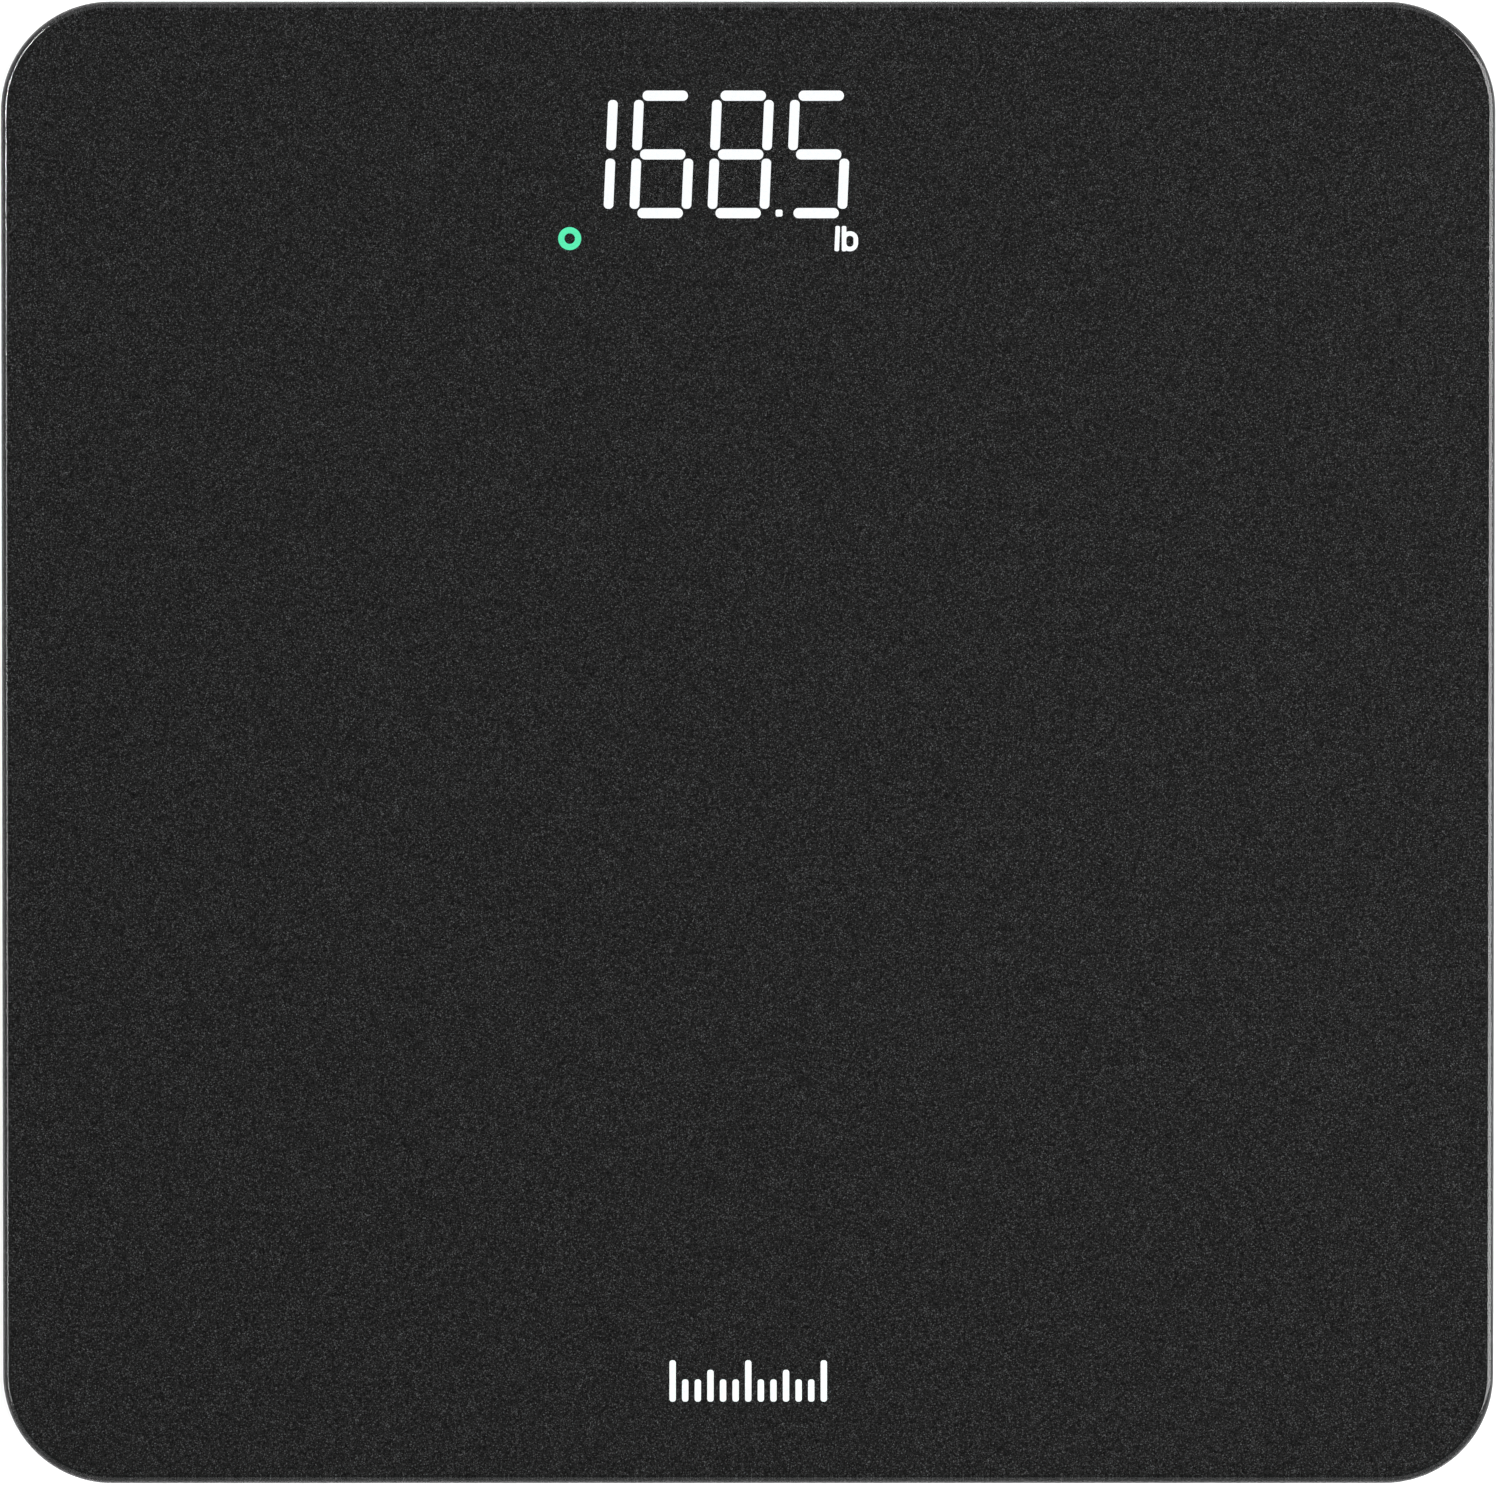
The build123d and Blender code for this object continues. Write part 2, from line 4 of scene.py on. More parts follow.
import bmesh
import bpy
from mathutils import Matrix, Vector

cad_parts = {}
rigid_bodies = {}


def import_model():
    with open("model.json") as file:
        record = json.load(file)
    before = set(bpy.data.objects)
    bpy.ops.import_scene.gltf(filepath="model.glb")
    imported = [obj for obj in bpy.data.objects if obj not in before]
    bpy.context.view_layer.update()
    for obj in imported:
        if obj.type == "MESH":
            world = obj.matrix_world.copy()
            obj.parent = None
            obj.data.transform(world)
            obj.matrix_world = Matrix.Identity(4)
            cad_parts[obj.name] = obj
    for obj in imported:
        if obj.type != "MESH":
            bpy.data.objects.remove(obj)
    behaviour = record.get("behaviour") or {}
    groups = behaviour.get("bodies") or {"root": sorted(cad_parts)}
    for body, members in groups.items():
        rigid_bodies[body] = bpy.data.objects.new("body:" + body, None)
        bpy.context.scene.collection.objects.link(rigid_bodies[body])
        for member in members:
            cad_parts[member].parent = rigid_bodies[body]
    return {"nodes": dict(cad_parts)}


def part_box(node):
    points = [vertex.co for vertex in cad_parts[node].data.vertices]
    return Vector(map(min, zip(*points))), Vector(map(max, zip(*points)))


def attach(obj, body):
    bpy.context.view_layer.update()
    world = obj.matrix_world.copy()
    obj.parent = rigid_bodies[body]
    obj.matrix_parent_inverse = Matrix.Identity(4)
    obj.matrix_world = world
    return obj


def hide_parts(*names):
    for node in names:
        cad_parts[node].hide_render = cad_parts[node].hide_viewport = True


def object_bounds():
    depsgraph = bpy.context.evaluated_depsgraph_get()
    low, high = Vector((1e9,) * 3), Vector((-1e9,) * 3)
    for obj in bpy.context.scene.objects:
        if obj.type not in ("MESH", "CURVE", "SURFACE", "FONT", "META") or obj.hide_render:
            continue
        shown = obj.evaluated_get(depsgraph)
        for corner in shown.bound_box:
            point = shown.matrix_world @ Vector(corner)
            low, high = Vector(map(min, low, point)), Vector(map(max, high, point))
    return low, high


for leftOver in list(bpy.data.objects):  # the start-up cube, lamp and camera
    bpy.data.objects.remove(leftOver)

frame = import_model()
bpy.context.view_layer.update()
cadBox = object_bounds()
nodes = frame["nodes"]
scene = bpy.context.scene
corners = ("front_left", "front_right", "back_left", "back_right")
mm = 0.001
print("frame loaded with", len(nodes), "pieces")


def addNode(tree, kind, inputs=None, **settings):
    # one node, with its settings and any socket values or links
    made = tree.nodes.new(kind)
    for name, value in settings.items():
        setattr(made, name, value)
    for socket, value in (inputs or {}).items():
        if isinstance(value, bpy.types.NodeSocket):
            tree.links.new(value, made.inputs[socket])
        else:
            made.inputs[socket].default_value = value
    return made


def mixColors(tree, factor, first, second, blend="MIX"):
    sides = {0: factor, 6: first, 7: second}
    made = addNode(tree, "ShaderNodeMix", sides, data_type="RGBA", blend_type=blend)
    return made.outputs[2]


def remap(tree, value, fromLow, fromHigh, toLow, toHigh, smooth=False):
    made = addNode(
        tree,
        "ShaderNodeMapRange",
        {"Value": value, "From Min": fromLow, "From Max": fromHigh, "To Min": toLow, "To Max": toHigh},
        interpolation_type="SMOOTHSTEP" if smooth else "LINEAR",
    )
    return made.outputs["Result"]


def compute(tree, operation, first, second=0.0):
    return addNode(tree, "ShaderNodeMath", {0: first, 1: second}, operation=operation).outputs[0]


def newGroup(name, inputs, outputs):
    # an empty node group with named sockets, and its two end nodes
    group = bpy.data.node_groups.new(name, "ShaderNodeTree")
    for label, kind, value in inputs:
        socket = group.interface.new_socket(label, in_out="INPUT", socket_type="NodeSocket" + kind)
        if value is not None:
            socket.default_value = value
    for label, kind in outputs:
        group.interface.new_socket(label, in_out="OUTPUT", socket_type="NodeSocket" + kind)
    return group, group.nodes.new("NodeGroupInput"), group.nodes.new("NodeGroupOutput")


def placeGroup(tree, group, inputs):
    return addNode(tree, "ShaderNodeGroup", inputs, node_tree=group)


def buildMouldGrain():
    # the spark-eroded texture of a moulding tool: rounded pebbles with a softer second layer
    group, source, target = newGroup(
        "mouldGrain",
        [("Vector", "Vector", None), ("Size", "Float", 0.0005), ("Depth", "Float", 1.0)],
        [("Height", "Float"), ("Shade", "Float")],
    )
    density = compute(group, "DIVIDE", 1.0, source.outputs["Size"])
    pebbles = addNode(
        group,
        "ShaderNodeTexVoronoi",
        {"Vector": source.outputs["Vector"], "Scale": density},
        feature="SMOOTH_F1",
    )
    broader = compute(group, "MULTIPLY", density, 0.45)
    softer = addNode(
        group,
        "ShaderNodeTexNoise",
        {"Vector": source.outputs["Vector"], "Scale": broader, "Detail": 3.0},
    )
    dips = compute(group, "MULTIPLY", pebbles.outputs["Distance"], -0.6)
    height = compute(group, "ADD", dips, softer.outputs["Fac"])
    group.links.new(compute(group, "MULTIPLY", height, source.outputs["Depth"]), target.inputs["Height"])
    # Shade is painted shade: the colour darkens in the dips between the pebbles
    group.links.new(remap(group, height, 0.0, 0.6, 0.0, 1.0), target.inputs["Shade"])
    return group


def buildHandling():
    # broad smudges and settled dust, as a mask from clean to marked
    group, source, target = newGroup(
        "handling",
        [("Vector", "Vector", None), ("Size", "Float", 0.03), ("Amount", "Float", 0.5)],
        [("Marked", "Float")],
    )
    density = compute(group, "DIVIDE", 1.0, source.outputs["Size"])
    where = source.outputs["Vector"]
    billows = {"Vector": where, "Scale": density, "Detail": 5.0, "Roughness": 0.62, "Distortion": 0.4}
    clouds = addNode(group, "ShaderNodeTexNoise", billows)
    finer = compute(group, "MULTIPLY", density, 6.0)
    streaks = addNode(group, "ShaderNodeTexNoise", {"Vector": where, "Scale": finer, "Detail": 2.0})
    patches = remap(group, clouds.outputs["Fac"], 0.42, 0.68, 0.0, 1.0, True)
    both = compute(group, "MULTIPLY", patches, streaks.outputs["Fac"])
    group.links.new(compute(group, "MULTIPLY", both, source.outputs["Amount"]), target.inputs["Marked"])
    return group


def buildRolledLines():
    # long fine lines left in sheet metal by rolling and brushing
    group, source, target = newGroup(
        "rolledLines",
        [("Vector", "Vector", None), ("Width", "Float", 0.0002), ("Stretch", "Float", 40.0)],
        [("Height", "Float"), ("Shade", "Float")],
    )
    density = compute(group, "DIVIDE", 1.0, source.outputs["Width"])
    along = compute(group, "DIVIDE", density, source.outputs["Stretch"])
    scaling = addNode(group, "ShaderNodeCombineXYZ", {"X": along, "Y": density, "Z": density})
    sides = {0: source.outputs["Vector"], 1: scaling.outputs[0]}
    stretched = addNode(group, "ShaderNodeVectorMath", sides, operation="MULTIPLY")
    wanted = {"Vector": stretched.outputs[0], "Scale": 1.0, "Detail": 4.0, "Roughness": 0.7}
    lines = addNode(group, "ShaderNodeTexNoise", wanted)
    group.links.new(lines.outputs["Fac"], target.inputs["Height"])
    group.links.new(remap(group, lines.outputs["Fac"], 0.3, 0.7, 0.0, 1.0), target.inputs["Shade"])
    return group


def buildCellFlecks():
    # one random value for each tiny cell, for glitter, foam cells and fibres
    group, source, target = newGroup(
        "cellFlecks",
        [("Vector", "Vector", None), ("Size", "Float", 0.0003)],
        [("Value", "Float"), ("Rare", "Float"), ("Height", "Float")],
    )
    density = compute(group, "DIVIDE", 1.0, source.outputs["Size"])
    cells = addNode(group, "ShaderNodeTexVoronoi", {"Vector": source.outputs["Vector"], "Scale": density})
    split = addNode(group, "ShaderNodeSeparateColor", {"Color": cells.outputs["Color"]})
    group.links.new(split.outputs["Red"], target.inputs["Value"])
    group.links.new(remap(group, split.outputs["Green"], 0.96, 1.0, 0.0, 1.0), target.inputs["Rare"])
    group.links.new(cells.outputs["Distance"], target.inputs["Height"])
    return group


def buildEdgeDistance():
    # how far a point lies inside a rounded rectangle that is centred on the origin
    group, source, target = newGroup(
        "edgeDistance",
        [
            ("Vector", "Vector", None),
            ("Half Width", "Float", 0.14),
            ("Half Depth", "Float", 0.139),
            ("Corner", "Float", 0.02),
        ],
        [("Inside", "Float")],
    )
    corner = source.outputs["Corner"]
    straightX = compute(group, "SUBTRACT", source.outputs["Half Width"], corner)
    straightY = compute(group, "SUBTRACT", source.outputs["Half Depth"], corner)
    split = addNode(group, "ShaderNodeSeparateXYZ", {"Vector": source.outputs["Vector"]})
    pastX = compute(group, "SUBTRACT", compute(group, "ABSOLUTE", split.outputs["X"]), straightX)
    pastY = compute(group, "SUBTRACT", compute(group, "ABSOLUTE", split.outputs["Y"]), straightY)
    outX, outY = compute(group, "MAXIMUM", pastX, 0.0), compute(group, "MAXIMUM", pastY, 0.0)
    squareX, squareY = compute(group, "MULTIPLY", outX, outX), compute(group, "MULTIPLY", outY, outY)
    outwards = compute(group, "SQRT", compute(group, "ADD", squareX, squareY))
    within = compute(group, "MINIMUM", compute(group, "MAXIMUM", pastX, pastY), 0.0)
    reach = compute(group, "ADD", outwards, within)
    group.links.new(compute(group, "SUBTRACT", corner, reach), target.inputs["Inside"])
    return group


mouldGrain = buildMouldGrain()
handling = buildHandling()
rolledLines = buildRolledLines()
cellFlecks = buildCellFlecks()
edgeDistance = buildEdgeDistance()
print("shared effects built")


def startMaterial(name):
    # a node material with its shader, output and object coordinates
    material = bpy.data.materials.new(name)
    material.use_nodes = True
    tree = material.node_tree
    shader = tree.nodes["Principled BSDF"]
    place = addNode(tree, "ShaderNodeTexCoord").outputs["Object"]
    return material, tree, shader, place


def setShader(shader, values):
    for socket, value in values.items():
        shader.inputs[socket].default_value = value


def addBump(tree, shader, height, strength, distance):
    bump = addNode(tree, "ShaderNodeBump", {"Height": height, "Strength": strength, "Distance": distance})
    tree.links.new(bump.outputs["Normal"], shader.inputs["Normal"])


def dress(material, *names):
    for name in names:
        slots = nodes[name].data.materials
        slots.clear()
        slots.append(material)


def makeMoulding(name, look):
    # moulded plastic: tool texture with painted shade in its dips, and handling marks that dull the gloss
    material, tree, shader, place = startMaterial(name)
    grain = placeGroup(tree, mouldGrain, {"Vector": place, "Size": look["grainSize"], "Depth": 1.0})
    marks = placeGroup(tree, handling, {"Vector": place, "Size": 0.035, "Amount": look["marks"]})
    plain = mixColors(tree, grain.outputs["Shade"], look["deepColor"], look["color"])
    handled = mixColors(tree, marks.outputs["Marked"], plain, look["markColor"])
    tree.links.new(handled, shader.inputs["Base Color"])
    rough = remap(tree, marks.outputs["Marked"], 0.0, 1.0, look["roughness"], look["roughness"] + 0.25)
    tree.links.new(rough, shader.inputs["Roughness"])
    addBump(tree, shader, grain.outputs["Height"], look["grainStrength"], look["grainSize"] * 0.4)
    setShader(shader, {"IOR": 1.5})
    return material


def makeSteel(name, look):
    # sheet metal with rolling lines and a dulled film of handling
    material, tree, shader, place = startMaterial(name)
    rolling = {"Vector": place, "Width": look["lineWidth"], "Stretch": look["stretch"]}
    lines = placeGroup(tree, rolledLines, rolling)
    marks = placeGroup(tree, handling, {"Vector": place, "Size": 0.012, "Amount": look["marks"]})
    bright = mixColors(tree, lines.outputs["Shade"], look["deepColor"], look["color"])
    worn = mixColors(tree, marks.outputs["Marked"], bright, look["markColor"])
    tree.links.new(worn, shader.inputs["Base Color"])
    rough = compute(
        tree,
        "ADD",
        remap(tree, lines.outputs["Shade"], 0.0, 1.0, look["roughness"], look["roughness"] + 0.12),
        compute(tree, "MULTIPLY", marks.outputs["Marked"], 0.3),
    )
    tree.links.new(rough, shader.inputs["Roughness"])
    addBump(tree, shader, lines.outputs["Height"], 0.25, 0.00003)
    setShader(shader, {"Metallic": 1.0})
    return material


def makeRubber(name, look):
    # rubber or foam: fine open cells, a chalky bloom, no gloss to speak of
    material, tree, shader, place = startMaterial(name)
    cells = placeGroup(tree, cellFlecks, {"Vector": place, "Size": look["cellSize"]})
    marks = placeGroup(tree, handling, {"Vector": place, "Size": 0.015, "Amount": look["bloom"]})
    plain = mixColors(tree, cells.outputs["Value"], look["deepColor"], look["color"])
    bloomed = mixColors(tree, marks.outputs["Marked"], plain, look["bloomColor"])
    tree.links.new(bloomed, shader.inputs["Base Color"])
    tree.links.new(remap(tree, cells.outputs["Value"], 0.0, 1.0, 0.68, 0.86), shader.inputs["Roughness"])
    addBump(tree, shader, cells.outputs["Height"], look["cellStrength"], look["cellSize"] * 0.5)
    setShader(shader, {"IOR": 1.45})
    return material


glassPlate = {
    "cornerRadius": 20.5 * mm,
    "edgeRadius": 1.5 * mm,  # the top's rounded edge
    "backRadius": 0.5 * mm,
    "cornerSteps": 28,
    "edgeSteps": 12,
    "flatBorder": 0.4 * mm,  # a flat ring that keeps the top from shading like a cushion
    "inkSunk": 0.05 * mm,  # the ink is fused to the back, so the glass reaches just past its face
    "tint": (0.94, 0.975, 0.968, 1.0),
    "haze": (0.0, 0.03),
    "edgeSoftness": 0.09,  # the ground and polished edge is a little less sharp than the face
}


def measureFromEdge(tree, place, cornerRadius):
    # distance in from the platform's outline, for the glass and for the ink under it
    inputs = {"Vector": place, "Half Width": cadBox[1].x, "Half Depth": cadBox[1].y, "Corner": cornerRadius}
    return placeGroup(tree, edgeDistance, inputs).outputs["Inside"]


def makeGlass(look):
    material, tree, shader, place = startMaterial("clearTemperedGlass")
    marks = placeGroup(tree, handling, {"Vector": place, "Size": 0.05, "Amount": 1.0})
    haze = remap(tree, marks.outputs["Marked"], 0.1, 0.7, look["haze"][0], look["haze"][1])
    fromEdge = measureFromEdge(tree, place, look["cornerRadius"])
    turnIn, turnOut = look["edgeRadius"] * 0.95, look["edgeRadius"] * 1.05
    onEdge = remap(tree, fromEdge, turnIn, turnOut, look["edgeSoftness"], 0.0)
    tree.links.new(compute(tree, "MAXIMUM", haze, onEdge), shader.inputs["Roughness"])
    setShader(shader, {"Base Color": look["tint"], "IOR": 1.5, "Transmission Weight": 1.0})
    rays = addNode(tree, "ShaderNodeLightPath")  # lamps shine through the pane without a noisy detour
    straight = addNode(tree, "ShaderNodeBsdfTransparent", {"Color": look["tint"]})
    passing = compute(tree, "MAXIMUM", rays.outputs["Is Shadow Ray"], rays.outputs["Is Diffuse Ray"])
    mixed = addNode(tree, "ShaderNodeMixShader", {0: passing, 1: shader.outputs[0], 2: straight.outputs[0]})
    tree.links.new(mixed.outputs[0], tree.nodes["Material Output"].inputs["Surface"])
    return material


def buildGlass(look):
    low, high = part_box("glass_platform")
    width, depth = high.x - low.x, high.y - low.y
    bottom = low.z - look["inkSunk"]
    work = bmesh.new()
    bmesh.ops.create_grid(work, x_segments=1, y_segments=1, size=0.5)
    bmesh.ops.scale(work, vec=(width, depth, 1.0), verts=work.verts)
    bmesh.ops.translate(work, vec=(0.0, 0.0, bottom), verts=work.verts)
    bmesh.ops.bevel(
        work,
        geom=work.verts[:],
        affect="VERTICES",
        offset=look["cornerRadius"],
        offset_type="OFFSET",
        segments=look["cornerSteps"],
        profile=0.5,
        material=-1,
    )
    outline = work.faces[:]
    raised = bmesh.ops.extrude_face_region(work, geom=outline, use_keep_orig=True)
    lifted = [item for item in raised["geom"] if isinstance(item, bmesh.types.BMVert)]
    bmesh.ops.translate(work, vec=(0.0, 0.0, high.z - bottom), verts=lifted)
    bmesh.ops.recalc_face_normals(work, faces=work.faces)
    for level, radius in ((high.z, look["edgeRadius"]), (bottom, look["backRadius"])):
        rim = [edge for edge in work.edges if all(abs(vert.co.z - level) < 1e-7 for vert in edge.verts)]
        bmesh.ops.bevel(
            work,
            geom=rim,
            affect="EDGES",
            offset=radius,
            offset_type="OFFSET",
            segments=look["edgeSteps"],
            profile=0.5,
            material=-1,
            clamp_overlap=True,
        )
    flats = [face for face in work.faces if abs(face.normal.z) > 0.999]
    for face in flats:
        bmesh.ops.inset_region(work, faces=[face], thickness=look["flatBorder"], use_even_offset=True)
    for face in work.faces:
        face.smooth = True
    mesh = bpy.data.meshes.new("glassPlatform")
    work.to_mesh(mesh)
    work.free()
    plate = bpy.data.objects.new("glassPlatform", mesh)
    scene.collection.objects.link(plate)
    mesh.materials.append(makeGlass(look))
    weighted = plate.modifiers.new("flatTop", "WEIGHTED_NORMAL")
    weighted.mode = "FACE_AREA"
    weighted.weight = 100
    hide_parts("glass_platform")
    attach(plate, "scale")
    return plate


buildGlass(glassPlate)
print("glass platform built")


inkLook = {
    "fleckSize": 0.17 * mm,
    "darkest": 0.0,
    "middle": 0.0089,
    "turn": 0.85,  # above this share of the flecks the brightness climbs steeply
    "turnLevel": 0.0089 * 1.9,
    "brightest": 0.063,
    "warmth": 1.06,  # offsets the glass's green
    "clumping": 0.15,
    # brightness of the painted glint on rare flecks, standing in for the glitter's sparkle
    "rareGlint": 0.095,
    "border": (0.0042, 0.0044, 0.0046, 1.0),
    "borderWidth": (1.0 * mm, 1.35 * mm),  # the glitter fades out over this distance from the outline
    "roughness": (0.42, 0.62),
}


def makeGlitterInk(look):
    material, tree, shader, place = startMaterial("blackGlitterInk")
    flecks = placeGroup(tree, cellFlecks, {"Vector": place, "Size": look["fleckSize"]})
    grains = placeGroup(tree, cellFlecks, {"Vector": place, "Size": look["fleckSize"] * 2.1})
    ramp = addNode(tree, "ShaderNodeValToRGB", {"Fac": flecks.outputs["Value"]})
    for position in (0.5, look["turn"]):
        ramp.color_ramp.elements.new(position)
    levels = (look["darkest"], look["middle"], look["turnLevel"], look["brightest"])
    for element, level in zip(ramp.color_ramp.elements, levels):
        element.color = (level * look["warmth"], level * 0.99, level, 1.0)
    clumped = mixColors(tree, look["clumping"], ramp.outputs["Color"], grains.outputs["Value"], "MULTIPLY")
    # rare flecks get a painted glint: a bright colour in place of the glitter's sparkle
    glint = (look["rareGlint"], look["rareGlint"], look["rareGlint"] * 1.04, 1.0)
    glitter = mixColors(tree, flecks.outputs["Rare"], clumped, glint)
    fromEdge = measureFromEdge(tree, place, glassPlate["cornerRadius"])
    inField = remap(tree, fromEdge, look["borderWidth"][0], look["borderWidth"][1], 0.0, 1.0, True)
    tree.links.new(mixColors(tree, inField, look["border"], glitter), shader.inputs["Base Color"])
    low, high = look["roughness"]
    tree.links.new(remap(tree, grains.outputs["Value"], 0.0, 1.0, low, high), shader.inputs["Roughness"])
    addBump(tree, shader, flecks.outputs["Height"], 0.15, look["fleckSize"] * 0.2)
    # fused to the glass, so it has little gloss of its own
    setShader(shader, {"IOR": 1.3, "Specular IOR Level": 0.1})
    return material


lightLook = {
    "white": {"glow": (0.96, 0.97, 1.0, 1.0), "strength": 1.04, "body": (0.05, 0.05, 0.05, 1.0)},
    "green": {"glow": (0.085, 0.85, 0.44, 1.0), "strength": 1.0, "body": (0.01, 0.04, 0.025, 1.0)},
}


def makeLight(name, look):
    # a lit window: almost even light with the film's faint mottling
    material, tree, shader, place = startMaterial(name)
    film = placeGroup(tree, cellFlecks, {"Vector": place, "Size": 0.35 * mm})
    dimmer = tuple(0.93 * part for part in look["glow"][:3]) + (1.0,)
    glow = mixColors(tree, film.outputs["Value"], dimmer, look["glow"])
    tree.links.new(glow, shader.inputs["Emission Color"])
    tree.links.new(remap(tree, film.outputs["Value"], 0.0, 1.0, 0.5, 0.6), shader.inputs["Roughness"])
    setShader(shader, {"Base Color": look["body"], "Emission Strength": look["strength"], "IOR": 1.3})
    return material


printLook = {"thin": (0.74, 0.75, 0.76, 1), "full": (0.84, 0.84, 0.85, 1), "grain": 0.3 * mm}


def makeWhitePrint(look):
    material, tree, shader, place = startMaterial("whiteScreenPrint")
    film = placeGroup(tree, cellFlecks, {"Vector": place, "Size": look["grain"]})
    white = mixColors(tree, film.outputs["Value"], look["thin"], look["full"])
    tree.links.new(white, shader.inputs["Base Color"])
    tree.links.new(remap(tree, film.outputs["Value"], 0.0, 1.0, 0.5, 0.62), shader.inputs["Roughness"])
    setShader(shader, {"IOR": 1.3})
    return material


dress(makeGlitterInk(inkLook), "back_print", "unlit_segments")
dress(makeLight("whiteSegmentLight", lightLook["white"]), "lit_segments", "unit_symbol")
dress(makeLight("greenStatusLight", lightLook["green"]), "status_ring")
dress(makeWhitePrint(printLook), "front_mark")
print("printed back and lights dressed")


mouldLooks = {
    "basePlastic": {
        "color": (0.022, 0.022, 0.023, 1), "deepColor": (0.012, 0.012, 0.013, 1),
        "markColor": (0.050, 0.049, 0.048, 1),
        "grainSize": 0.55 * mm, "grainStrength": 0.35, "roughness": 0.45, "marks": 0.35,
    },
    "footPlastic": {
        "color": (0.030, 0.030, 0.031, 1), "deepColor": (0.018, 0.018, 0.019, 1),
        "markColor": (0.09, 0.088, 0.083, 1),
        "grainSize": 0.4 * mm, "grainStrength": 0.3, "roughness": 0.5, "marks": 0.5,
    },
    "bracketNylon": {
        "color": (0.66, 0.65, 0.60, 1), "deepColor": (0.56, 0.55, 0.50, 1),
        "markColor": (0.50, 0.48, 0.43, 1),
        "grainSize": 0.7 * mm, "grainStrength": 0.25, "roughness": 0.42, "marks": 0.3,
    },
    "buttonPlastic": {
        "color": (0.17, 0.175, 0.18, 1), "deepColor": (0.13, 0.135, 0.14, 1),
        "markColor": (0.22, 0.22, 0.22, 1),
        "grainSize": 0.3 * mm, "grainStrength": 0.12, "roughness": 0.3, "marks": 0.4,
    },
    "whiteNylon": {
        "color": (0.80, 0.78, 0.70, 1), "deepColor": (0.72, 0.70, 0.62, 1),
        "markColor": (0.66, 0.63, 0.55, 1),
        "grainSize": 0.4 * mm, "grainStrength": 0.15, "roughness": 0.38, "marks": 0.2,
    },
    "reflectorWhite": {
        "color": (0.86, 0.86, 0.84, 1), "deepColor": (0.80, 0.80, 0.78, 1),
        "markColor": (0.74, 0.73, 0.70, 1),
        "grainSize": 0.35 * mm, "grainStrength": 0.12, "roughness": 0.5, "marks": 0.15,
    },
    "switchBlack": {
        "color": (0.030, 0.030, 0.030, 1), "deepColor": (0.020, 0.020, 0.020, 1),
        "markColor": (0.06, 0.06, 0.06, 1),
        "grainSize": 0.25 * mm, "grainStrength": 0.15, "roughness": 0.35, "marks": 0.2,
    },
    "epoxyBlack": {
        "color": (0.012, 0.012, 0.012, 1), "deepColor": (0.008, 0.008, 0.008, 1),
        "markColor": (0.03, 0.03, 0.03, 1),
        "grainSize": 1.4 * mm, "grainStrength": 0.10, "roughness": 0.16, "marks": 0.4,
    },
    "redWire": {
        "color": (0.46, 0.02, 0.02, 1), "deepColor": (0.38, 0.015, 0.015, 1),
        "markColor": (0.40, 0.05, 0.05, 1),
        "grainSize": 0.6 * mm, "grainStrength": 0.08, "roughness": 0.3, "marks": 0.3,
    },
    "blackWire": {
        "color": (0.024, 0.024, 0.024, 1), "deepColor": (0.016, 0.016, 0.016, 1),
        "markColor": (0.05, 0.05, 0.05, 1),
        "grainSize": 0.6 * mm, "grainStrength": 0.08, "roughness": 0.3, "marks": 0.3,
    },
    "greyRibbon": {
        "color": (0.34, 0.34, 0.35, 1), "deepColor": (0.27, 0.27, 0.28, 1),
        "markColor": (0.24, 0.24, 0.24, 1),
        "grainSize": 0.6 * mm, "grainStrength": 0.08, "roughness": 0.34, "marks": 0.3,
    },
}
mouldings = {name: makeMoulding(name, look) for name, look in mouldLooks.items()}
dress(mouldings["basePlastic"], "base_tray", "battery_door")
dress(mouldings["footPlastic"], *("foot_cup_" + corner for corner in corners))
dress(mouldings["bracketNylon"], *("sensor_bracket_" + corner for corner in corners))
dress(mouldings["buttonPlastic"], "unit_button")
dress(mouldings["whiteNylon"], "lead_headers")
dress(mouldings["reflectorWhite"], "display_reflector")
dress(mouldings["switchBlack"], "switch_body", "switch_plunger", "chip_resistors")
dress(mouldings["epoxyBlack"], "processor_blob")
dress(mouldings["redWire"], "battery_lead_red")
dress(mouldings["blackWire"], "battery_lead_black")
dress(mouldings["greyRibbon"], *("sensor_ribbon_" + corner for corner in corners))
print("mouldings dressed")


softLooks = {
    "footRubber": {
        "color": (0.075, 0.075, 0.073, 1), "deepColor": (0.055, 0.055, 0.053, 1),
        "bloomColor": (0.15, 0.147, 0.14, 1),
        "cellSize": 0.22 * mm, "cellStrength": 0.2, "bloom": 0.6,
    },
    "tapeFoam": {
        "color": (0.022, 0.022, 0.022, 1), "deepColor": (0.012, 0.012, 0.012, 1),
        "bloomColor": (0.04, 0.04, 0.04, 1),
        "cellSize": 0.18 * mm, "cellStrength": 0.4, "bloom": 0.2,
    },
    "gasketFoam": {
        "color": (0.032, 0.032, 0.033, 1), "deepColor": (0.014, 0.014, 0.014, 1),
        "bloomColor": (0.05, 0.05, 0.05, 1),
        "cellSize": 0.4 * mm, "cellStrength": 0.6, "bloom": 0.2,
    },
    "silicone": {
        "color": (0.80, 0.80, 0.77, 1), "deepColor": (0.74, 0.74, 0.71, 1),
        "bloomColor": (0.68, 0.66, 0.61, 1),
        "cellSize": 0.9 * mm, "cellStrength": 0.15, "bloom": 0.3,
    },
}
softs = {name: makeRubber(name, look) for name, look in softLooks.items()}
dress(softs["footRubber"], *("foot_pad_" + corner for corner in corners))
dress(softs["tapeFoam"], "bonding_tape", "sensor_tapes")
dress(softs["gasketFoam"], "support_pads", "display_gasket")
dress(softs["silicone"], *("gauge_seal_" + corner for corner in corners))
print("rubber and foam dressed")


